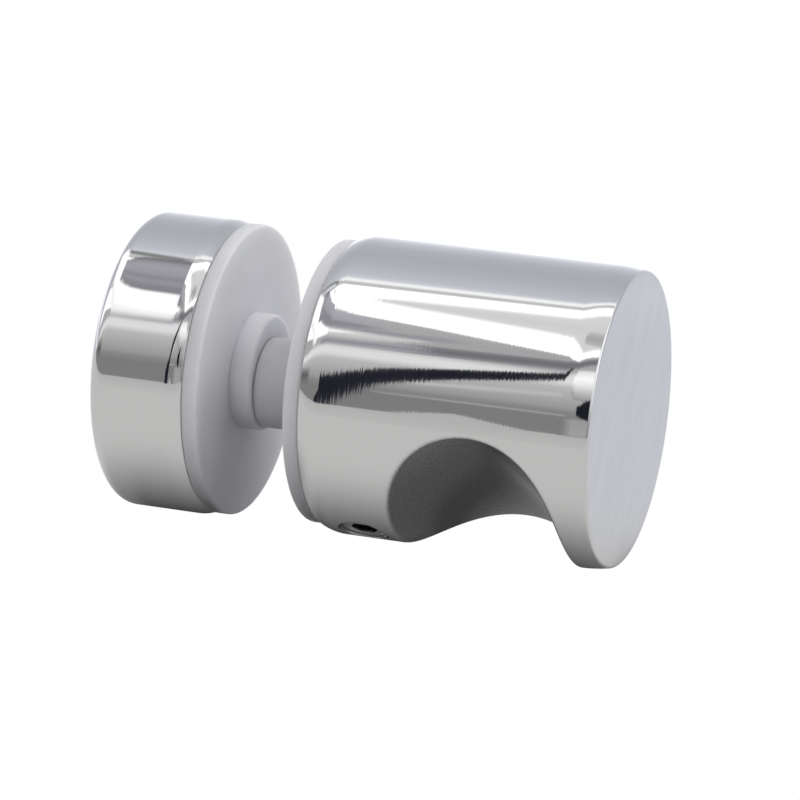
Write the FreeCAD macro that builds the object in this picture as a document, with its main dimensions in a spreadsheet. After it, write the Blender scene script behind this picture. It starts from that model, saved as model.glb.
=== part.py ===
# Finger-pull knob for a glass shower door, clamped through one hole in the pane.
#
# A turned knob stands on the outer side of the glass and a flat cap on the inner side. A stud joins them
# through the hole, a plastic gasket lies under each, and a set screw in the knob locks the stud.
#
# Frame: the origin is the centre of the glass hole on the outer face of the pane. +Y runs through the
# pane to the cap, the knob stands out along -Y, +Z is up and the finger recess faces down.

import FreeCAD, Part
import math
import os
import Sketcher

PARTS_FOLDER = "parts"
FIT_TOLERANCE = 1e-4

# Driving dimensions in millimetres
DIMENSIONS = [
    ("knob_diameter", "30.0", "outside of the knob"),
    ("knob_length", "29.5", "back face to front face"),
    ("front_roll_length", "3.0", "length over which buffing rolls the side off towards the front face"),
    ("front_roll_drop", "0.33", "how far that roll-off falls below the side"),
    ("rear_roll_length", "2.2", "length over which buffing rolls the side off towards the back face"),
    ("rear_roll_drop", "0.6", "how far that roll-off falls below the side"),
    ("edge_break", "0.3", "rounding of the edges where the roll-offs end"),
    ("recess_depth", "7.3", "depth of the finger recess below the knob's side"),
    ("recess_lip", "3.1", "wall between the recess and the front face, at the knob's side"),
    ("recess_edge_round", "0.6", "rounding of the recess's rim"),
    ("screw_diameter", "5.0", "set screw thread"),
    ("screw_land", "0.35", "plain side between the rear roll-off and the set screw's hole"),
    ("recess_land", "0.9", "plain side between the set screw's hole and the recess"),
    ("screw_sink", "0.4", "set screw's end below the knob's side"),
    ("screw_key", "2.5", "across the flats of the set screw's socket"),
    ("screw_socket_depth", "2.5", "depth of the set screw's socket"),
    ("screw_point_chamfer", "0.9", "chamfer of the set screw's point"),
    ("screw_end_chamfer", "0.35", "chamfer of the set screw's outer end"),
    ("stud_diameter", "6.0", "stud thread"),
    ("stud_in_knob", "12.0", "length of stud inside the knob"),
    ("stud_chamfer", "0.6", "chamfer of the stud's ends"),
    ("thread_clearance", "0.05", "radial clearance in the tapped holes"),
    ("hole_runout", "0.8", "tapped hole beyond the end of the stud"),
    ("drill_point_angle", "118.0", "drill point at the bottom of the tapped holes, in degrees"),
    ("glass_gap", "8.8", "clear width between the gaskets"),
    ("gasket_thickness", "1.6", "disc of each gasket"),
    ("front_gasket_inset", "0.75", "knob's side to the edge of the disc under it"),
    ("rear_gasket_inset", "0.3", "cap's side to the edge of the disc under it"),
    ("gasket_edge_round", "0.25", "rounding of the gaskets' discs"),
    ("gasket_clearance", "0.15", "radial clearance of the gaskets on the stud"),
    ("boss_wall", "2.75", "wall of the gaskets' bosses"),
    ("boss_length", "2.2", "bosses' reach into the glass hole"),
    ("boss_round", "0.4", "rounding of the bosses' ends"),
    ("sleeve_looseness", "1.0", "radial clearance of the loose sleeve on the stud"),
    ("sleeve_wall", "0.55", "wall of the sleeve"),
    ("sleeve_end_play", "0.1", "clearance at each end of the sleeve"),
    ("cap_diameter", "30.0", "outside of the rear cap"),
    ("cap_length", "10.0", "front face to back face"),
    ("cap_rear_round", "1.6", "rounding of the cap's back edge"),
    ("cap_roll_length", "1.7", "length over which buffing rolls the cap's side off towards the gasket"),
    ("cap_roll_drop", "0.6", "how far that roll-off falls below the side"),
    ("cap_floor", "2.0", "metal left under the drill point of the cap's hole"),
]

# Expressions that several pieces share
BORE_RADIUS = "(dims.stud_diameter / 2 + dims.thread_clearance)"
DRILL_POINT = f"({BORE_RADIUS} / tan(dims.drill_point_angle / 2 * 1 deg))"
KNOB_BORE_DEPTH = "(dims.stud_in_knob + dims.hole_runout)"
CAP_BORE_DEPTH = f"(dims.cap_length - dims.cap_floor - {DRILL_POINT})"
STUD_IN_CAP = f"({CAP_BORE_DEPTH} - dims.hole_runout)"
GASKET_BORE = "(dims.stud_diameter / 2 + dims.gasket_clearance)"
FRONT_GASKET_RADIUS = "(dims.knob_diameter / 2 - dims.front_gasket_inset)"
REAR_GASKET_RADIUS = "(dims.cap_diameter / 2 - dims.rear_gasket_inset)"
BOSS_RADIUS = f"({GASKET_BORE} + dims.boss_wall)"
SLEEVE_BORE = "(dims.stud_diameter / 2 + dims.sleeve_looseness)"
SCREW_HOLE_RADIUS = "(dims.screw_diameter / 2 + dims.thread_clearance)"
SCREW_SETBACK = f"(dims.rear_roll_length + dims.screw_land + {SCREW_HOLE_RADIUS})"
SCREW_TOP = "(dims.knob_diameter / 2 - dims.screw_sink)"
SCREW_LENGTH = f"({SCREW_TOP} - dims.stud_diameter / 2)"

# The recess leaves the lip in front and the set screw's land behind, and its radius follows from that
# mouth and from its depth
RECESS_REAR = f"({SCREW_SETBACK} + {SCREW_HOLE_RADIUS} + dims.recess_land)"
RECESS_HALF_MOUTH = f"((dims.knob_length - dims.recess_lip - {RECESS_REAR}) / 2)"
RECESS_RADIUS = f"(({RECESS_HALF_MOUTH}^2 + dims.recess_depth^2) / (2 * dims.recess_depth))"
RECESS_CENTRE_DROP = f"(dims.knob_diameter / 2 - dims.recess_depth + {RECESS_RADIUS})"

doc = FreeCAD.newDocument("finger_pull_knob")


def make_sheet():
    """The sheet of driving dimensions: name, value and what it measures."""
    sheet = doc.addObject("Spreadsheet::Sheet", "dims")
    for row, (alias, value, meaning) in enumerate(DIMENSIONS, start=1):
        sheet.set(f"A{row}", alias)
        sheet.set(f"B{row}", value)
        sheet.set(f"C{row}", meaning)
        sheet.setAlias(f"B{row}", alias)
    doc.recompute()
    return sheet


def value_of(expression):
    """An expression's present value as a plain number."""
    result = sheet.evalExpression(expression)
    return float(getattr(result, "Value", result))


def make_body(label, base_y="0", base_z="0", turned_about_z=0.0):
    """An empty body with its label and a place along the stud's axis."""
    body = doc.addObject("PartDesign::Body", label)
    body.Label = label
    body.Placement = FreeCAD.Placement(
        FreeCAD.Vector(0, 0, 0), FreeCAD.Rotation(FreeCAD.Vector(0, 0, 1), turned_about_z)
    )
    body.setExpression("Placement.Base.y", base_y)
    body.setExpression("Placement.Base.z", base_z)
    return body


def new_sketch(body, name, role):
    """A sketch on one of the body's own origin planes."""
    sketch = body.newObject("Sketcher::SketchObject", name)
    plane = next(item for item in body.Origin.OriginFeatures if item.Role == role)
    sketch.AttachmentSupport = [(plane, "")]
    sketch.MapMode = "FlatFace"
    return sketch


def bind(sketch, constraint, expression):
    """Adds a constraint whose value follows an expression."""
    index = sketch.addConstraint(constraint)
    sketch.setExpression(f"Constraints[{index}]", expression)


def fix_point(sketch, geometry, point, x, y):
    """Ties a point of the sketch to two expressions, measured from the sketch's origin."""
    origin = (-1, 1)
    bind(sketch, Sketcher.Constraint("DistanceX", *origin, geometry, point, value_of(x)), x)
    bind(sketch, Sketcher.Constraint("DistanceY", *origin, geometry, point, value_of(y)), y)


def rolled_arc(shoulder, edge):
    """An arc between a shoulder, where it is parallel to the sketch's Y axis, and an edge at smaller X."""
    drop = shoulder.x - edge.x
    radius = ((shoulder.y - edge.y) ** 2 + drop**2) / (2 * drop)
    centre = FreeCAD.Vector(shoulder.x - radius, shoulder.y, 0)
    circle = Part.Circle(centre, FreeCAD.Vector(0, 0, 1), radius)
    swing = math.atan2(edge.y - centre.y, edge.x - centre.x)
    return Part.ArcOfCircle(circle, min(swing, 0.0), max(swing, 0.0))


def closed_profile(body, name, role, corners, rolled=()):
    """A closed outline with its corners at pairs of expressions.

    Sides are straight, apart from the numbered rolled ones: arcs that run smoothly into the straight side
    at their end with the larger X.
    """
    sketch = new_sketch(body, name, role)
    points = [FreeCAD.Vector(value_of(x), value_of(y), 0) for x, y in corners]
    count = len(points)
    shoulders = set()
    for index, start in enumerate(points):
        following = (index + 1) % count
        end = points[following]
        if index not in rolled:
            side = Part.LineSegment(start, end)
        elif end.x > start.x:
            side = rolled_arc(end, start)
            shoulders.add(following)
        else:
            side = rolled_arc(start, end)
            shoulders.add(index)
        sketch.addGeometry(side, False)
    for index in range(count):
        following = (index + 1) % count
        meeting = "Tangent" if following in shoulders else "Coincident"
        sketch.addConstraint(Sketcher.Constraint(meeting, index, 2, following, 1))
    for index, (x, y) in enumerate(corners):
        fix_point(sketch, index, 1, x, y)
    doc.recompute()
    return sketch


def circle_sketch(body, name, role, x, y, radius):
    """A sketch with one circle, its centre and radius given as expressions."""
    sketch = new_sketch(body, name, role)
    centre = FreeCAD.Vector(value_of(x), value_of(y), 0)
    sketch.addGeometry(Part.Circle(centre, FreeCAD.Vector(0, 0, 1), value_of(radius)), False)
    fix_point(sketch, 0, 3, x, y)
    bind(sketch, Sketcher.Constraint("Radius", 0, value_of(radius)), radius)
    doc.recompute()
    return sketch


def turned(body, corners, rolled=()):
    """A solid of revolution about the body's Y axis. Corners are (radius, length) expressions."""
    profile = closed_profile(body, f"{body.Label}_profile", "XY_Plane", corners, rolled)
    solid = body.newObject("PartDesign::Revolution", f"{body.Label}_turned")
    solid.Profile = profile
    solid.ReferenceAxis = (profile, ["V_Axis"])
    solid.Angle = 360.0
    profile.Visibility = False
    doc.recompute()
    return solid


def cut(body, name, sketch, depth=None, both_ways=False, along_normal=False):
    """A pocket from the sketch, to a depth or right through, against the sketch's normal unless told."""
    before = body.Shape.Volume
    pocket = body.newObject("PartDesign::Pocket", name)
    pocket.Profile = sketch
    pocket.Reversed = along_normal
    if both_ways:
        pocket.SideType = "Symmetric"
    if depth is None:
        pocket.Type = "ThroughAll"
    else:
        pocket.setExpression("Length", depth)
    doc.recompute()
    if pocket.Shape.Volume >= before - FIT_TOLERANCE:
        raise RuntimeError(f"{name} cut nothing")
    return pocket


def rim_edges(feature, radius, y):
    """Names of the feature's circular edges about the body's Y axis with this radius, at this length."""
    wanted_radius = value_of(radius)
    wanted_y = value_of(y)
    names = []
    for number, edge in enumerate(feature.Shape.Edges, start=1):
        if not isinstance(edge.Curve, Part.Circle):
            continue
        same_radius = abs(edge.Curve.Radius - wanted_radius) < FIT_TOLERANCE
        same_place = abs(edge.Curve.Center.y - wanted_y) < FIT_TOLERANCE
        if same_radius and same_place:
            names.append(f"Edge{number}")
    return names


def dress(body, kind, name, edges, size):
    """A Fillet or Chamfer on named edges of the body's tip, its size given as an expression."""
    if not edges:
        raise RuntimeError(f"{name} found no edge")
    base = body.Tip
    feature = body.newObject(f"PartDesign::{kind}", name)
    feature.Base = (base, edges)
    feature.setExpression("Radius" if kind == "Fillet" else "Size", size)
    doc.recompute()
    return feature


def make_knob():
    """The knob: its back face lies on the front gasket and its front face looks along -Y."""
    body = make_body("knob", base_y="-dims.gasket_thickness")
    side = "dims.knob_diameter / 2"
    front = "-dims.knob_length"
    front_rim = f"{side} - dims.front_roll_drop"
    rear_rim = f"{side} - dims.rear_roll_drop"
    blank = turned(
        body,
        [
            ("0", front),
            (front_rim, front),
            (side, f"{front} + dims.front_roll_length"),
            (side, "-dims.rear_roll_length"),
            (rear_rim, "0"),
            (BORE_RADIUS, "0"),
            (BORE_RADIUS, f"-{KNOB_BORE_DEPTH}"),
            ("0", f"-{KNOB_BORE_DEPTH} - {DRILL_POINT}"),
        ],
        rolled=(1, 3),
    )
    rims = rim_edges(blank, front_rim, front) + rim_edges(blank, rear_rim, "0")
    dress(body, "Fillet", "knob_edge_breaks", rims, "dims.edge_break")

    recess_y = f"{front} + dims.recess_lip + {RECESS_HALF_MOUTH}"
    recess = circle_sketch(
        body, "recess_section", "YZ_Plane", recess_y, f"-{RECESS_CENTRE_DROP}", RECESS_RADIUS
    )
    milled = cut(body, "finger_recess", recess, both_ways=True)
    dress(body, "Fillet", "recess_rim", recess_rim(milled), "dims.recess_edge_round")

    cross_hole = circle_sketch(
        body, "screw_hole_section", "XY_Plane", "0", f"-{SCREW_SETBACK}", SCREW_HOLE_RADIUS
    )
    cut(body, "screw_hole", cross_hole)
    return body


def recess_rim(milled):
    """Names of the edges where the finger recess meets the knob's side."""
    radius = value_of(RECESS_RADIUS)
    walls = [
        face
        for face in milled.Shape.Faces
        if isinstance(face.Surface, Part.Cylinder)
        and abs(face.Surface.Radius - radius) < FIT_TOLERANCE
    ]
    rim = [edge for wall in walls for edge in wall.Edges]
    return [
        f"Edge{number}"
        for number, edge in enumerate(milled.Shape.Edges, start=1)
        if any(edge.isSame(other) for other in rim)
    ]


def circles_at_height(feature, z):
    """Names of the feature's circular edges at this height along the body's Z axis."""
    return [
        f"Edge{number}"
        for number, edge in enumerate(feature.Shape.Edges, start=1)
        if isinstance(edge.Curve, Part.Circle)
        and abs(edge.Curve.Center.z - value_of(z)) < FIT_TOLERANCE
    ]


def make_set_screw():
    """The set screw: its axis is the body's Z, its outer end faces down and its point bears on the stud."""
    body = make_body(
        "set_screw", base_y=f"-dims.gasket_thickness - {SCREW_SETBACK}", base_z=f"-{SCREW_TOP}"
    )
    shank = body.newObject("PartDesign::Pad", "screw_shank")
    shank.Profile = circle_sketch(
        body, "screw_section", "XY_Plane", "0", "0", "dims.screw_diameter / 2"
    )
    shank.setExpression("Length", SCREW_LENGTH)
    doc.recompute()

    half_key = "dims.screw_key / 2"
    half_side = "dims.screw_key / 2 / sqrt(3)"
    corner = "dims.screw_key / sqrt(3)"
    socket = closed_profile(
        body,
        "socket_section",
        "XY_Plane",
        [
            (half_key, f"-{half_side}"),
            (half_key, half_side),
            ("0", corner),
            (f"-{half_key}", half_side),
            (f"-{half_key}", f"-{half_side}"),
            ("0", f"-{corner}"),
        ],
    )
    socketed = cut(
        body, "key_socket", socket, depth="dims.screw_socket_depth", along_normal=True
    )
    point = circles_at_height(socketed, SCREW_LENGTH)
    pointed = dress(body, "Chamfer", "screw_point", point, "dims.screw_point_chamfer")
    dress(body, "Chamfer", "screw_end", circles_at_height(pointed, "0"), "dims.screw_end_chamfer")
    return body


def make_stud():
    """The stud: from inside the knob, through both gaskets, into the rear cap."""
    body = make_body("stud", base_y="-dims.gasket_thickness - dims.stud_in_knob")
    radius = "dims.stud_diameter / 2"
    inner = "dims.stud_diameter / 2 - dims.stud_chamfer"
    length = f"dims.stud_in_knob + 2 * dims.gasket_thickness + dims.glass_gap + {STUD_IN_CAP}"
    turned(
        body,
        [
            ("0", "0"),
            (inner, "0"),
            (radius, "dims.stud_chamfer"),
            (radius, f"{length} - dims.stud_chamfer"),
            (inner, length),
            ("0", length),
        ],
    )
    return body


def make_gasket(label, rim, base_y, turned_about_z):
    """A gasket: the glass side of its disc lies on the body's XZ plane and its boss reaches along +Y."""
    body = make_body(label, base_y=base_y, turned_about_z=turned_about_z)
    back = "-dims.gasket_thickness"
    disc = turned(
        body,
        [
            (GASKET_BORE, back),
            (rim, back),
            (rim, "0"),
            (BOSS_RADIUS, "0"),
            (BOSS_RADIUS, "dims.boss_length"),
            (GASKET_BORE, "dims.boss_length"),
        ],
    )
    disc_edges = rim_edges(disc, rim, back) + rim_edges(disc, rim, "0")
    rounded = dress(body, "Fillet", f"{label}_disc_edges", disc_edges, "dims.gasket_edge_round")
    boss_edge = rim_edges(rounded, BOSS_RADIUS, "dims.boss_length")
    dress(body, "Fillet", f"{label}_boss_edge", boss_edge, "dims.boss_round")
    return body


def make_stud_sleeve():
    """The loose sleeve between the bosses: it hangs on the stud by the top of its bore."""
    body = make_body(
        "stud_sleeve",
        base_y="dims.boss_length + dims.sleeve_end_play",
        base_z="-dims.sleeve_looseness",
    )
    length = "dims.glass_gap - 2 * (dims.boss_length + dims.sleeve_end_play)"
    outside = f"{SLEEVE_BORE} + dims.sleeve_wall"
    turned(body, [(SLEEVE_BORE, "0"), (outside, "0"), (outside, length), (SLEEVE_BORE, length)])
    return body


def make_rear_cap():
    """The rear cap: its front face lies on the rear gasket."""
    body = make_body("rear_cap", base_y="dims.glass_gap + dims.gasket_thickness")
    side = "dims.cap_diameter / 2"
    front_rim = f"{side} - dims.cap_roll_drop"
    blank = turned(
        body,
        [
            (BORE_RADIUS, "0"),
            (front_rim, "0"),
            (side, "dims.cap_roll_length"),
            (side, "dims.cap_length"),
            ("0", "dims.cap_length"),
            ("0", f"{CAP_BORE_DEPTH} + {DRILL_POINT}"),
            (BORE_RADIUS, CAP_BORE_DEPTH),
        ],
        rolled=(1,),
    )
    rear = rim_edges(blank, side, "dims.cap_length")
    rounded = dress(body, "Fillet", "cap_rear_edge", rear, "dims.cap_rear_round")
    dress(body, "Fillet", "cap_edge_break", rim_edges(rounded, front_rim, "0"), "dims.edge_break")
    return body


def check(bodies):
    """Stops if any object failed, or a piece is not one valid solid."""
    failed = [item.Name for item in doc.Objects if {"Invalid", "Error"} & set(item.State)]
    if failed:
        raise RuntimeError(f"failed objects: {failed}")
    for body in bodies:
        shape = body.Shape
        if shape.isNull() or not shape.isValid() or len(shape.Solids) != 1:
            raise RuntimeError(f"{body.Label} is not one valid solid")


sheet = make_sheet()
pieces = [
    make_knob(),
    make_set_screw(),
    make_stud(),
    make_gasket("front_gasket", FRONT_GASKET_RADIUS, "0", 0.0),
    make_gasket("rear_gasket", REAR_GASKET_RADIUS, "dims.glass_gap", 180.0),
    make_stud_sleeve(),
    make_rear_cap(),
]
doc.recompute()
check(pieces)

os.makedirs(PARTS_FOLDER, exist_ok=True)
for piece in pieces:
    piece.Shape.exportStep(os.path.join(PARTS_FOLDER, f"{piece.Label}.step"))
    print(f"{piece.Label}: {piece.Shape.Volume:.1f} mm3")
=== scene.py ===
import math

import bpy
from mathutils import Matrix, Vector


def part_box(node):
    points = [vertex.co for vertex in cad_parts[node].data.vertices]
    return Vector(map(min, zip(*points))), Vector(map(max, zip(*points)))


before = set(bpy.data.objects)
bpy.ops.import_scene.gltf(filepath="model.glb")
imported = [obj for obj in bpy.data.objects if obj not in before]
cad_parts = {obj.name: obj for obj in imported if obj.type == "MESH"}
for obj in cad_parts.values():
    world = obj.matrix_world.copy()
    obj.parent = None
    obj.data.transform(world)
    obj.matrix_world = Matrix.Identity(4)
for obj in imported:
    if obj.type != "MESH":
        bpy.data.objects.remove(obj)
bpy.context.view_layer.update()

MM = 0.001

# Camera, as the photograph was taken: from the left of the knob's front face and from below it
CAMERA_PLACE = Vector((-372.635, -133.522, -109.179)) * MM
CAMERA_RIGHT = Vector((0.25805, -0.94293, 0.21046))
CAMERA_UP = Vector((-0.31491, 0.12384, 0.94101))
CAMERA_LENS = 184.44
CAMERA_SENSOR = 36.0
CAMERA_CLIP = 0.01

# Forms of the part that its finishes follow
KNOB_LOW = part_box("knob")[0]
SCREW_LOW, SCREW_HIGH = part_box("set_screw")
SCREW_Y = (SCREW_LOW.y + SCREW_HIGH.y) / 2
FRONT_FACE_Y = KNOB_LOW.y
REAR_FACE_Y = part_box("rear_cap")[1].y
RECESS_RADIUS = 9.106 * MM
RECESS_CENTRE_Y = FRONT_FACE_Y + 12.025 * MM
RECESS_CENTRE_Z = -16.806 * MM

# How far from those forms each finish, and the painted shade in the set screw's socket, ends
FACE_DEPTH = (0.01 * MM, 0.04 * MM)
RECESS_DEPTH = (0.02 * MM, 0.2 * MM)
SOCKET_EDGE = (1.45 * MM, 1.5 * MM)
SOCKET_DEPTH = (0.03 * MM, 0.2 * MM)

# Grain of each finish, in features per metre along X, Y and Z
BUFFING_LINES = (25, 4800, 25)
BRUSHING_LINES = (5200, 40, 110)
BRUSHING_BLOTCHES = (420, 60, 130)
MILLING_LINES = (60, 2600, 2600)
TURNING_LINES = (4200, 1, 1)
SATIN_GRAIN = (5200, 5200, 5200)
SMUDGES = (160, 160, 160)
MOULD_GRAIN = (900, 900, 900)
MOULD_CLOUDS = (260, 260, 260)
DULL_GRAIN = (2500, 2500, 2500)
NOISE_ROUGHNESS = 0.55
NOISE_RANGE = (0.3, 0.7)
SMUDGE_RANGE = (0.35, 0.75)
STROKE_RANGE = (0.7, 1.3)

# Depth of each finish in micrometres, its roughness, and how far its grain changes the colour
MICROMETRE = 0.000001
BUFFING_DEPTH = 2.0
BRUSHING_DEPTH = 5.0
MILLING_DEPTH = 4.0
TURNING_DEPTH = 1.5
MOULD_DEPTH = 6.0
MIRROR_ROUGHNESS = (0.04, 0.065)
BRUSHED_ROUGHNESS = 0.28
SATIN_ROUGHNESS = 0.16
DULL_ROUGHNESS = (0.25, 0.4)
BRUSHED_SHADES = (0.93, 1.03)
TURNED_SHADES = (0.95, 1.02)
SATIN_SHADES = (0.62, 1.05)
MOULD_SHADES = (0.96, 1.03)
STEEL_COLOUR = (0.655, 0.655, 0.66)
DULL_COLOUR = (0.62, 0.62, 0.62, 1)
# Grey of the shade painted deep inside the set screw's socket
SOCKET_SHADE_GREY = 0.06
PLASTIC_COLOUR = (0.68, 0.683, 0.712)
PLASTIC_ROUGHNESS = 0.55
PLASTIC_SHINE = 0.3
PLASTIC_TRANSLUCENCE = 0.8
PLASTIC_REACH = 2.5 * MM

# Studio of cloths and cards that are bent round the knob's axis
CARD_RADIUS = 105 * MM
CARD_STEP = 1.5
LAYER_GAP = 0.3 * MM
CAP_LAYER = 216
CLOTH_ENDS = (-2000, 2000)
SOFTEST_SHARE = 0.9
NEUTRAL = Vector((1.0, 1.0, 1.0))
WARM = Vector((1.01, 1.0, 0.985))
COOL = Vector((0.965, 0.99, 1.06))
LILAC = Vector((0.985, 0.98, 1.07))
INK = Vector((0.85, 0.92, 1.35))

# Table that the steel shows, which touches the knob and the cap along one line at this angle
TABLE_ANGLE = math.radians(303)
TABLE_DOWN = Vector((math.cos(TABLE_ANGLE), 0, math.sin(TABLE_ANGLE)))
TABLE_ACROSS = Vector((-math.sin(TABLE_ANGLE), 0, math.cos(TABLE_ANGLE)))
TABLE_DROP = 15.3 * MM
TABLE_STEPS_ALONG = (-2000, -300, -120, -70, *range(-54, 55, 3), 70, 120, 300, 2000)
TABLE_STEPS_ACROSS = (-104, -80, -60, *range(-48, 49, 2), 60, 80, 104)
# Painted light of the table: a little darker and warmer on the camera's side of the contact line, cooler
# beyond it
TABLE_NEAR = 0.75 * WARM
TABLE_FAR = 0.78 * COOL
TABLE_TURN = (-10, 30)

# Painted shadow of the part on that table, in mm along the axis and across the contact line
SHADE_DEPTH = 0.955
SHADE_FRONT, SHADE_REAR = (-34, -29), (17, 29)
SHADE_REACH = 14.0
SHADE_POWER = 2.4
GAP_FRONT, GAP_REAR = (-1, 4), (6, 11)
GAP_LIGHT = 0.4
RECESS_FRONT, RECESS_REAR = (-28, -24), (-12, -8)
RECESS_SIDE = (0, 3.5)
RECESS_LIGHT = 0.1

# Floor under the part, and the light on it and on the plastic
FLOOR_Z = KNOB_LOW.z
FLOOR_SIZE = 12.0
FLOOR_COLOUR = (0.65, 0.65, 0.65, 1)
FLOOR_ROUGHNESS = 0.8
FLOOR_GLOW = 0.3
AMBIENT_LIGHT = 0.55
KEY_PLACE = Vector((-0.15, -0.6, 0.9))
KEY_SIZE = 0.6
KEY_POWER = 5.6
SIDE_PLACE = Vector((-0.9, 0.05, 0.05))
SIDE_SIZE = 0.12
SIDE_POWER = 0.9


def node(tree, kind, links=None, **settings):
    """Adds a shader node. Links gives its inputs: a socket to link, or a plain value."""
    made = tree.nodes.new(kind)
    for name, value in settings.items():
        setattr(made, name, value)
    for key, value in (links or {}).items():
        if isinstance(value, bpy.types.NodeSocket):
            tree.links.new(value, made.inputs[key])
        else:
            made.inputs[key].default_value = value
    return made


def new_material(name):
    """An empty node material and its output node."""
    material = bpy.data.materials.new(name)
    material.use_nodes = True
    material.node_tree.nodes.clear()
    return material, node(material.node_tree, "ShaderNodeOutputMaterial")


def maths(tree, operation, first, second=0.0):
    """The result of a Math node."""
    return node(tree, "ShaderNodeMath", {0: first, 1: second}, operation=operation).outputs[0]


def distance(tree, first, second):
    """The length of a line with these two components."""
    squares = [maths(tree, "MULTIPLY", side, side) for side in (first, second)]
    return maths(tree, "SQRT", maths(tree, "ADD", *squares))


def place(tree):
    """The point on the surface, in the part's frame."""
    return node(tree, "ShaderNodeTexCoord").outputs["Object"]


def axes(tree, point):
    """The three coordinates of a point."""
    split = node(tree, "ShaderNodeSeparateXYZ", {0: point})
    return split.outputs["X"], split.outputs["Y"], split.outputs["Z"]


def noise(tree, point, grain, detail=2.0):
    """A noise value with the given grain."""
    mapped = node(tree, "ShaderNodeMapping", {"Vector": point, "Scale": grain})
    made = node(
        tree,
        "ShaderNodeTexNoise",
        {"Vector": mapped.outputs[0], "Scale": 1.0, "Detail": detail, "Roughness": NOISE_ROUGHNESS},
    )
    return made.outputs["Fac"]


def remap(tree, value, from_range, to_range):
    """A value carried from one range to another, held at the ends."""
    made = node(
        tree,
        "ShaderNodeMapRange",
        {
            "Value": value,
            "From Min": from_range[0],
            "From Max": from_range[1],
            "To Min": to_range[0],
            "To Max": to_range[1],
        },
        clamp=True,
    )
    return made.outputs["Result"]


def mix(tree, share, without, within):
    """One value, or another where the share is 1."""
    return node(tree, "ShaderNodeMix", {0: share, 2: without, 3: within}, data_type="FLOAT").outputs[0]


def scaled(tree, colour, shade):
    """A colour made lighter or darker."""
    return node(tree, "ShaderNodeVectorMath", {0: colour, "Scale": shade}, operation="SCALE").outputs[0]


def bump(tree, height):
    """The surface's direction over a height in micrometres."""
    made = node(tree, "ShaderNodeBump", {"Height": height, "Strength": 1.0, "Distance": MICROMETRE})
    return made.outputs[0]


def polished_steel():
    """Buffed steel with lines round the axis, a brushed front face, a turned rear and a satin recess."""
    material, output = new_material("polished_steel_buffed")
    tree = material.node_tree
    point = place(tree)
    x, y, z = axes(tree, point)
    behind_face = maths(tree, "SUBTRACT", y, FRONT_FACE_Y)
    brushed = remap(tree, behind_face, FACE_DEPTH, (1.0, 0.0))
    before_rear = maths(tree, "SUBTRACT", REAR_FACE_Y, y)
    turned = remap(tree, before_rear, FACE_DEPTH, (1.0, 0.0))
    from_cutter = distance(
        tree, maths(tree, "SUBTRACT", y, RECESS_CENTRE_Y), maths(tree, "SUBTRACT", z, RECESS_CENTRE_Z)
    )
    satin = remap(tree, maths(tree, "SUBTRACT", from_cutter, RECESS_RADIUS), RECESS_DEPTH, (1.0, 0.0))

    brushing = noise(tree, point, BRUSHING_LINES, detail=4.0)
    from_axis = node(tree, "ShaderNodeCombineXYZ", {0: distance(tree, x, z)}).outputs[0]
    turning = noise(tree, from_axis, TURNING_LINES, detail=3.0)
    milling = noise(tree, point, MILLING_LINES, detail=3.0)
    height = maths(tree, "MULTIPLY", noise(tree, point, BUFFING_LINES), BUFFING_DEPTH)
    for grain, where, depth in (
        (brushing, brushed, BRUSHING_DEPTH),
        (turning, turned, TURNING_DEPTH),
        (milling, satin, MILLING_DEPTH),
    ):
        cut = maths(tree, "MULTIPLY", maths(tree, "MULTIPLY", grain, where), depth)
        height = maths(tree, "ADD", height, cut)

    smudge = noise(tree, point, SMUDGES, detail=4.0)
    roughness = remap(tree, smudge, SMUDGE_RANGE, MIRROR_ROUGHNESS)
    for where, level in ((brushed, BRUSHED_ROUGHNESS), (satin, SATIN_ROUGHNESS)):
        roughness = maths(tree, "MAXIMUM", roughness, maths(tree, "MULTIPLY", where, level))

    strokes = maths(tree, "ADD", brushing, noise(tree, point, BRUSHING_BLOTCHES, detail=3.0))
    shade = mix(tree, brushed, 1.0, remap(tree, strokes, STROKE_RANGE, BRUSHED_SHADES))
    shade = mix(tree, turned, shade, remap(tree, turning, NOISE_RANGE, TURNED_SHADES))
    grain = noise(tree, point, SATIN_GRAIN)
    shade = mix(tree, satin, shade, remap(tree, grain, NOISE_RANGE, SATIN_SHADES))
    shader = node(
        tree,
        "ShaderNodeBsdfPrincipled",
        {
            "Base Color": scaled(tree, STEEL_COLOUR, shade),
            "Metallic": 1.0,
            "Roughness": roughness,
            "Normal": bump(tree, height),
        },
    )
    tree.links.new(shader.outputs[0], output.inputs["Surface"])
    return material


def white_plastic():
    """Moulded white plastic, slightly cloudy and translucent."""
    material, output = new_material("white_plastic_moulded")
    tree = material.node_tree
    point = place(tree)
    clouds = noise(tree, point, MOULD_CLOUDS, detail=4.0)
    shade = remap(tree, clouds, NOISE_RANGE, MOULD_SHADES)
    grain = noise(tree, point, MOULD_GRAIN, detail=3.0)
    shader = node(
        tree,
        "ShaderNodeBsdfPrincipled",
        {
            "Base Color": scaled(tree, PLASTIC_COLOUR, shade),
            "Roughness": PLASTIC_ROUGHNESS,
            "Specular IOR Level": PLASTIC_SHINE,
            "Subsurface Weight": PLASTIC_TRANSLUCENCE,
            "Subsurface Radius": (1.0, 1.0, 1.0),
            "Subsurface Scale": PLASTIC_REACH,
            "Normal": bump(tree, maths(tree, "MULTIPLY", grain, MOULD_DEPTH)),
        },
    )
    tree.links.new(shader.outputs[0], output.inputs["Surface"])
    return material


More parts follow.
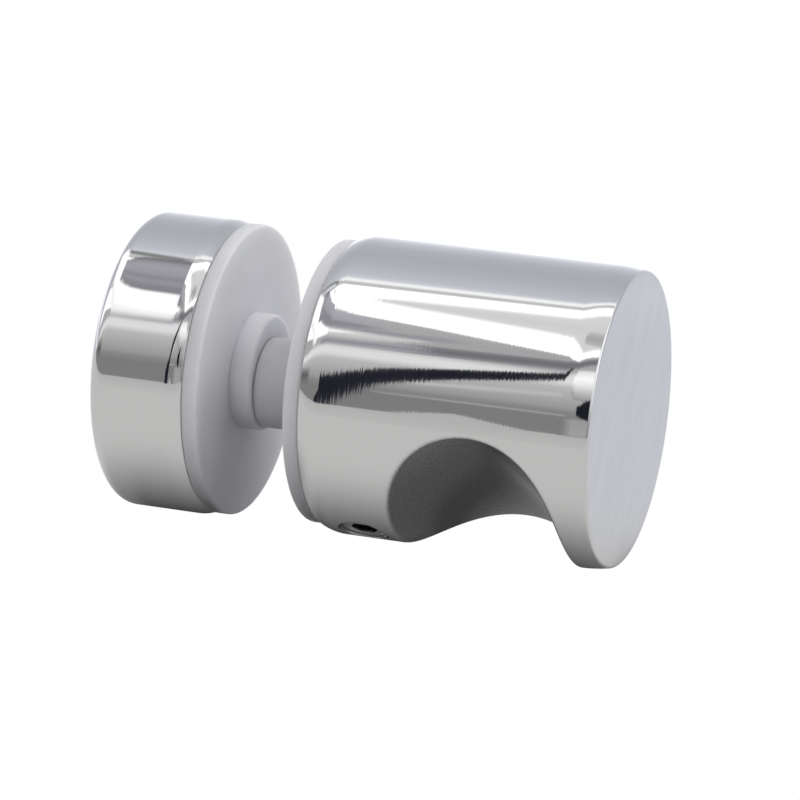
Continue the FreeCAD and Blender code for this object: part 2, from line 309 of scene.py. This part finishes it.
def dull_steel(name):
    """Dull steel, and its shader for a piece that darkens a part of it."""
    material, output = new_material(name)
    tree = material.node_tree
    grain = noise(tree, place(tree), DULL_GRAIN, detail=3.0)
    shader = node(
        tree,
        "ShaderNodeBsdfPrincipled",
        {
            "Base Color": DULL_COLOUR,
            "Metallic": 1.0,
            "Roughness": remap(tree, grain, NOISE_RANGE, DULL_ROUGHNESS),
        },
    )
    tree.links.new(shader.outputs[0], output.inputs["Surface"])
    return material, shader


def screw_steel():
    """Dull steel, with shade painted almost black deep inside the set screw's socket."""
    material, shader = dull_steel("screw_steel")
    tree = material.node_tree
    x, y, z = axes(tree, place(tree))
    # Painted shade: the socket turns nearly black inside, darker the deeper it goes
    from_screw = distance(tree, x, maths(tree, "SUBTRACT", y, SCREW_Y))
    inside = remap(tree, from_screw, SOCKET_EDGE, (1.0, 0.0))
    deep = remap(tree, maths(tree, "SUBTRACT", z, SCREW_LOW.z), SOCKET_DEPTH, (0.0, 1.0))
    socket = maths(tree, "MULTIPLY", inside, deep)
    grey = remap(tree, socket, (0.0, 1.0), (DULL_COLOUR[0], SOCKET_SHADE_GREY))
    tree.links.new(grey, shader.inputs["Base Color"])
    return material


def card_material():
    """Studio cards give off the light written at their corners, and fade out where its alpha falls."""
    material, output = new_material("studio_card")
    tree = material.node_tree
    glow = node(tree, "ShaderNodeAttribute", attribute_name="glow")
    light = node(tree, "ShaderNodeEmission", {"Color": glow.outputs["Color"], "Strength": 1.0})
    clear = node(tree, "ShaderNodeBsdfTransparent")
    behind = node(tree, "ShaderNodeNewGeometry").outputs["Backfacing"]
    solid = maths(tree, "SUBTRACT", glow.outputs["Alpha"], behind)
    shader = node(tree, "ShaderNodeMixShader", {0: solid, 1: clear.outputs[0], 2: light.outputs[0]})
    tree.links.new(shader.outputs[0], output.inputs["Surface"])
    material.cycles.emission_sampling = "NONE"
    return material


def light_for(grey, tint):
    """The light that looks this grey, from 0 to 255, in the polished steel by the sRGB curve."""
    level = ((grey / 255 + 0.055) / 1.055) ** 2.4 / STEEL_COLOUR[0]
    return level * tint


def smooth(edges, value):
    """Rises from 0 to 1 between two edges, without corners."""
    low, high = edges
    share = min(1.0, max(0.0, (value - low) / (high - low)))
    return share * share * (3 - 2 * share)


def reflected_sheet(name, rows):
    """A sheet that is seen only in reflections, from rows of (point in metres, light, alpha)."""
    width = len(rows[0])
    faces = [
        (row * width + i, row * width + i + 1, (row + 1) * width + i + 1, (row + 1) * width + i)
        for row in range(len(rows) - 1)
        for i in range(width - 1)
    ]
    corners = [corner for row in rows for corner in row]
    mesh = bpy.data.meshes.new(name)
    mesh.from_pydata([point for point, _, _ in corners], [], faces)
    attribute = mesh.attributes.new("glow", "FLOAT_COLOR", "POINT")
    for item, (_, light, alpha) in zip(attribute.data, corners):
        item.color = (*light, alpha)
    mesh.materials.append(CARD_MATERIAL)
    sheet = bpy.data.objects.new(name, mesh)
    bpy.context.scene.collection.objects.link(sheet)
    sheet.visible_camera = False
    sheet.visible_diffuse = False
    sheet.visible_shadow = False
    sheet.visible_transmission = False


def bent_sheet(name, rows, layer):
    """A sheet bent round the knob's axis.

    Each row is (place along the axis in mm, [(angle, light, alpha), ...]), and all rows have as many stops.
    Angles are in degrees, from +X towards +Z. A higher layer lies nearer to the knob.
    """
    radius = CARD_RADIUS - layer * LAYER_GAP
    count = len(rows[0][1])
    steps = [
        max(1, math.ceil(max(abs(stops[i + 1][0] - stops[i][0]) for _, stops in rows) / CARD_STEP))
        for i in range(count - 1)
    ]
    bent = []
    for along, stops in rows:
        corners = []
        for i in range(count - 1):
            (low, first, clear), (high, second, full) = stops[i], stops[i + 1]
            last = i == count - 2
            for step in range(steps[i] + last):
                share = step / steps[i]
                angle = math.radians(low + share * (high - low))
                point = (radius * math.cos(angle), along * MM, radius * math.sin(angle))
                corners.append((point, first.lerp(second, share), clear + share * (full - clear)))
        bent.append(corners)
    reflected_sheet(name, bent)


def cloth(name, stops, tint=NEUTRAL):
    """A long cloth whose greys change with the angle alone. Stops are (angle, grey)."""
    lit = [(angle, light_for(grey, tint), 1.0) for angle, grey in stops]
    bent_sheet(name, [(end, lit) for end in CLOTH_ENDS], layer=0)


def card(name, greys, edges, layer, feather=0.8, fade=0.0, tint=NEUTRAL):
    """A card with soft edges, whose ends may fade out over some mm.

    Edges are (place along the axis, one angle, other angle), greys go from one angle to the other.
    """
    ends = [(along, low, high, 1.0) for along, low, high in edges]
    if fade:
        first, last = edges[0], edges[-1]
        ends.insert(0, (first[0] - fade, first[1], first[2], 0.0))
        ends.append((last[0] + fade, last[1], last[2], 0.0))
    rows = []
    for along, low, high, full in ends:
        soft = min(feather, (high - low) * SOFTEST_SHARE) / 2
        stops = [(low - soft, light_for(greys[0], tint), 0.0)]
        for i, grey in enumerate(greys):
            angle = low + soft + (high - low - 2 * soft) * i / (len(greys) - 1)
            stops.append((angle, light_for(grey, tint), full))
        stops.append((high + soft, light_for(greys[-1], tint), 0.0))
        rows.append((along, stops))
    bent_sheet(name, rows, layer)


def hang_cloths():
    """The room's large plain surfaces, from the ceiling round the camera's side to the table."""
    cloth(
        "ceiling",
        [(24, 236), (38, 236), (46, 211), (56, 188), (70, 173), (84, 170), (98, 177), (110, 190),
         (117, 215)],
        tint=COOL,
    )
    cloth("left_wall", [(117, 206), (122, 178), (150, 168), (160, 162), (169.5, 170), (170.5, 190)])
    cloth(
        "right_wall",
        [(170.5, 195), (173, 218), (176.5, 219), (180.6, 182), (190, 162), (194, 152), (197, 133),
         (201, 122), (213, 123)],
    )
    cloth("table_edge", [(213, 174), (222, 184)], tint=WARM)
    card(
        "far_front",
        (188, 188),
        [(-2000, 25, 52), (-52, 25, 52)],
        layer=1,
        feather=1.0,
        fade=44,
        tint=COOL,
    )


def hang_softbox():
    """The large soft light above the camera's side, its frame and the shade inside it."""
    card(
        "softbox",
        (270, 270),
        [(-60, 106, 150), (-28, 114, 157.8), (-16, 116.5, 161.5), (-8, 119, 160.2), (4, 120, 155),
         (15, 120.8, 150), (25, 121.4, 146.3), (28.5, 121.5, 142.2), (50, 121.5, 135.2),
         (60, 121.5, 130.5), (74, 120.8, 122)],
        layer=2,
    )
    card(
        "softbox_fringe",
        (243, 243),
        [(-50, 101.5, 105), (-20, 110.5, 113.5), (0, 113.5, 117), (27, 115, 118.5), (40, 114, 118)],
        layer=3,
        feather=2.0,
        fade=6,
    )
    card(
        "softbox_frame",
        (188, 188),
        [(-50, 105, 108), (-20, 113.5, 116), (0, 117, 119.5), (27, 118.5, 121.5), (50, 115.8, 120.5)],
        layer=4,
        feather=1.2,
    )
    card(
        "softbox_rear_frame",
        (150, 118, 150),
        [(48, 116, 121), (60, 113.2, 116.5), (80, 109.2, 112.5), (130, 97, 101)],
        layer=5,
        feather=1.2,
    )
    card(
        "softbox_shade",
        (212, 205, 210),
        [(-60, 118, 142), (-30, 121.5, 152), (-20, 124.5, 155), (0, 127.5, 142), (20, 130, 135),
         (23, 131.5, 133.5)],
        layer=3,
        feather=3.0,
    )


def hang_strips():
    """Dark and light strips below the softbox, and the windows behind the cap."""
    card(
        "dark_strip",
        (128, 111, 113, 132),
        [(-60, 152, 156), (-20, 161.5, 166.5), (-5, 161.5, 168), (15, 163.5, 170)],
        layer=1,
        feather=1.2,
        fade=6,
        tint=LILAC,
    )
    card(
        "dark_strip_rear",
        (160, 141, 145, 160),
        [(16, 164.5, 170), (27, 166, 170.4), (50, 166, 170.8)],
        layer=1,
        feather=1.6,
        fade=6,
        tint=LILAC,
    )
    card(
        "dark_line",
        (148, 148),
        [(14, 156.5, 159.5), (20, 157, 160), (26, 156.2, 159)],
        layer=2,
        feather=1.6,
        fade=5,
        tint=LILAC,
    )
    card(
        "light_patch",
        (185, 205, 190),
        [(15, 159.8, 161), (19, 158.8, 164), (24, 158, 165), (30, 158, 165)],
        layer=2,
        feather=2.0,
    )
    card(
        "rear_slot",
        (168, 168, 165, 160, 134, 142),
        [(24, 148, 157), (30, 140, 157.8), (40, 130, 157.3), (60, 120, 154), (90, 116, 144),
         (140, 104, 128)],
        layer=1,
        feather=1.6,
        fade=4,
        tint=LILAC,
    )
    card(
        "rear_window",
        (262, 262),
        [(27, 160, 161.6), (33, 158.8, 163), (45, 157.2, 164.3), (70, 152.2, 164), (100, 142.5, 162),
         (220, 116, 150), (600, 95, 138)],
        layer=3,
        feather=2.2,
        fade=4,
    )
    card("rear_shade", (120, 92, 105), [(130, 188, 200), (400, 184, 204)], layer=3, feather=6.0, fade=40)
    card(
        "cap_slot",
        (115, 150, 160, 157, 152, 138, 150, 136, 130),
        [(21.6, 128, 154.4), (26.5, 128, 154.2), (28, 128.3, 153.2), (29, 129.6, 150.9),
         (29.8, 133.5, 146)],
        layer=CAP_LAYER + 1,
        feather=2.0,
        fade=0.4,
        tint=LILAC,
    )
    card(
        "cap_window",
        (250, 262, 262, 262, 235),
        [(22.4, 152, 172), (26, 150, 172), (29.4, 136, 171.6), (31, 129, 170.8), (41, 116, 158),
         (66, 92, 132)],
        layer=CAP_LAYER,
        feather=4.0,
        fade=0.6,
    )


def hang_post():
    """The dark post beside the camera and the lines on the wall behind it."""
    card(
        "post",
        (34, 32, 34),
        [(-12, 165.5, 167), (-5, 169, 173.6), (0, 172.2, 177.8), (11, 177.8, 185.2), (19.5, 183, 194),
         (25, 190, 208.9), (26, 192, 213.2), (35, 203, 213.2), (46, 210.5, 213.2)],
        layer=3,
        feather=0.5,
        tint=INK,
    )
    card(
        "wall_line_a",
        (184, 184),
        [(-4, 184, 186.5), (7, 186.5, 189.5), (18, 190.5, 192)],
        layer=2,
        feather=1.5,
    )
    card("wall_line_b", (152, 152), [(-12, 199, 200), (7, 198.8, 200.2), (20, 199.5, 200.5)], layer=2)
    card(
        "table_notch",
        (174, 176),
        [(2, 212.6, 214), (5, 211, 214), (10, 208, 214), (15, 210.6, 214), (18, 212.7, 214)],
        layer=2,
        feather=0.5,
    )


def hang_front_cards():
    """What the rounded end of the knob shows from before its front face."""
    card(
        "front_glow",
        (225, 252, 228, 188, 150),
        [(-60, 165, 189), (-20, 168, 188), (-16, 171, 184)],
        layer=2,
        feather=1.5,
    )
    card(
        "front_dark",
        (30, 30),
        [(-41, 186, 202), (-35, 188, 200.5), (-30, 191.5, 199.5), (-26, 192.5, 197.5)],
        layer=4,
        feather=1.2,
        tint=INK,
    )
    card("front_wall", (152, 157), [(-60, 201, 213), (-22, 201, 213)], layer=2, feather=2.0, fade=15)
    card(
        "front_corner",
        (185, 162, 180),
        [(-44, 137, 149), (-21, 138, 148), (-17, 141, 146)],
        layer=5,
        feather=2.0,
    )
    card("front_edge", (252, 252, 238, 195, 110), [(-2000, 112, 214), (-80, 112, 214)], layer=6, fade=15)


def between(front, rear, along):
    """Is 1 between two places along the axis and falls to 0 outside them."""
    return smooth(front, along) * (1 - smooth(rear, along))


def painted_contact_shadow(along, across):
    """How much of the table's light the painted shadow of the part takes away.

    Some light comes in through the glass gap, and under the finger recess from the camera's side.
    """
    shade = SHADE_DEPTH * between(SHADE_FRONT, SHADE_REAR, along)
    shade *= math.exp(-((abs(across) / SHADE_REACH) ** SHADE_POWER))
    shade *= 1 - GAP_LIGHT * between(GAP_FRONT, GAP_REAR, along)
    recess = between(RECESS_FRONT, RECESS_REAR, along) * (1 - smooth(RECESS_SIDE, across))
    return shade * (1 - RECESS_LIGHT * recess)


def make_table():
    """The table under the knob and the cap, as the steel shows it, with the part's shadow painted into its
    light.
    """
    rows = []
    for along in TABLE_STEPS_ALONG:
        row = []
        for across in TABLE_STEPS_ACROSS:
            light = TABLE_NEAR.lerp(TABLE_FAR, smooth(TABLE_TURN, across))
            light = light * (1 - painted_contact_shadow(along, across))
            point = TABLE_DOWN * TABLE_DROP + TABLE_ACROSS * across * MM + Vector((0, along * MM, 0))
            row.append((point, light, 1.0))
        rows.append(row)
    reflected_sheet("table", rows)


def make_floor():
    """A pale floor that shows its upper side alone. The table stands for it in the polished steel."""
    bpy.ops.mesh.primitive_plane_add(size=FLOOR_SIZE, location=(0, 0, FLOOR_Z))
    floor = bpy.context.object
    floor.name = "floor"
    material, output = new_material("pale_floor")
    tree = material.node_tree
    looks = {"Base Color": FLOOR_COLOUR, "Roughness": FLOOR_ROUGHNESS}
    pale = node(tree, "ShaderNodeBsdfPrincipled", looks)
    seen = node(tree, "ShaderNodeLightPath").outputs["Is Camera Ray"]
    glow = node(tree, "ShaderNodeEmission", {"Strength": maths(tree, "MULTIPLY", seen, FLOOR_GLOW)})
    lit = node(tree, "ShaderNodeAddShader", {0: pale.outputs[0], 1: glow.outputs[0]})
    clear = node(tree, "ShaderNodeBsdfTransparent")
    below = node(tree, "ShaderNodeNewGeometry").outputs["Backfacing"]
    shader = node(tree, "ShaderNodeMixShader", {0: below, 1: lit.outputs[0], 2: clear.outputs[0]})
    tree.links.new(shader.outputs[0], output.inputs["Surface"])
    floor.data.materials.append(material)
    floor.visible_glossy = False


def make_lamp(name, position, size, power):
    """A soft lamp that faces the part. The cards stand for it in the polished steel."""
    light = bpy.data.lights.new(name, "AREA")
    light.size = size
    light.energy = power
    lamp = bpy.data.objects.new(name, light)
    lamp.location = position
    lamp.rotation_mode = "QUATERNION"
    lamp.rotation_quaternion = (-position).to_track_quat("-Z", "Y")
    lamp.visible_glossy = False
    bpy.context.scene.collection.objects.link(lamp)


def make_world():
    """A white background, and a plain level of light from all round."""
    world = bpy.data.worlds.new("studio")
    bpy.context.scene.world = world
    world.use_nodes = True
    tree = world.node_tree
    tree.nodes.clear()
    output = node(tree, "ShaderNodeOutputWorld")
    rays = node(tree, "ShaderNodeLightPath")
    seen = maths(tree, "MAXIMUM", rays.outputs["Is Camera Ray"], rays.outputs["Is Glossy Ray"])
    seen = maths(tree, "MAXIMUM", seen, rays.outputs["Is Transmission Ray"])
    level = remap(tree, seen, (0.0, 1.0), (AMBIENT_LIGHT, 1.0))
    background = node(tree, "ShaderNodeBackground", {"Color": (1, 1, 1, 1), "Strength": level})
    tree.links.new(background.outputs[0], output.inputs["Surface"])


def make_camera():
    """The camera, at the photograph's viewing angle."""
    data = bpy.data.cameras.new("camera")
    data.lens = CAMERA_LENS
    data.sensor_width = CAMERA_SENSOR
    data.clip_start = CAMERA_CLIP
    camera = bpy.data.objects.new("camera", data)
    bpy.context.scene.collection.objects.link(camera)
    back = CAMERA_RIGHT.cross(CAMERA_UP).normalized()
    right = CAMERA_UP.cross(back).normalized()
    up = back.cross(right)
    turn = Matrix((right, up, back)).transposed().to_4x4()
    camera.matrix_world = Matrix.Translation(CAMERA_PLACE) @ turn
    bpy.context.scene.camera = camera


def dress(material, *names):
    """Gives a material to pieces of the part."""
    for name in names:
        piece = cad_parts[name]
        piece.data.materials.clear()
        piece.data.materials.append(material)


bpy.context.scene.view_settings.view_transform = "Standard"
dress(polished_steel(), "knob", "rear_cap")
dress(white_plastic(), "front_gasket", "rear_gasket", "stud_sleeve")
dress(screw_steel(), "set_screw")
dress(dull_steel("stud_steel")[0], "stud")
CARD_MATERIAL = card_material()
hang_cloths()
hang_softbox()
hang_strips()
hang_post()
hang_front_cards()
make_table()
make_floor()
make_lamp("key", KEY_PLACE, KEY_SIZE, KEY_POWER)
make_lamp("side", SIDE_PLACE, SIDE_SIZE, SIDE_POWER)
make_world()
make_camera()
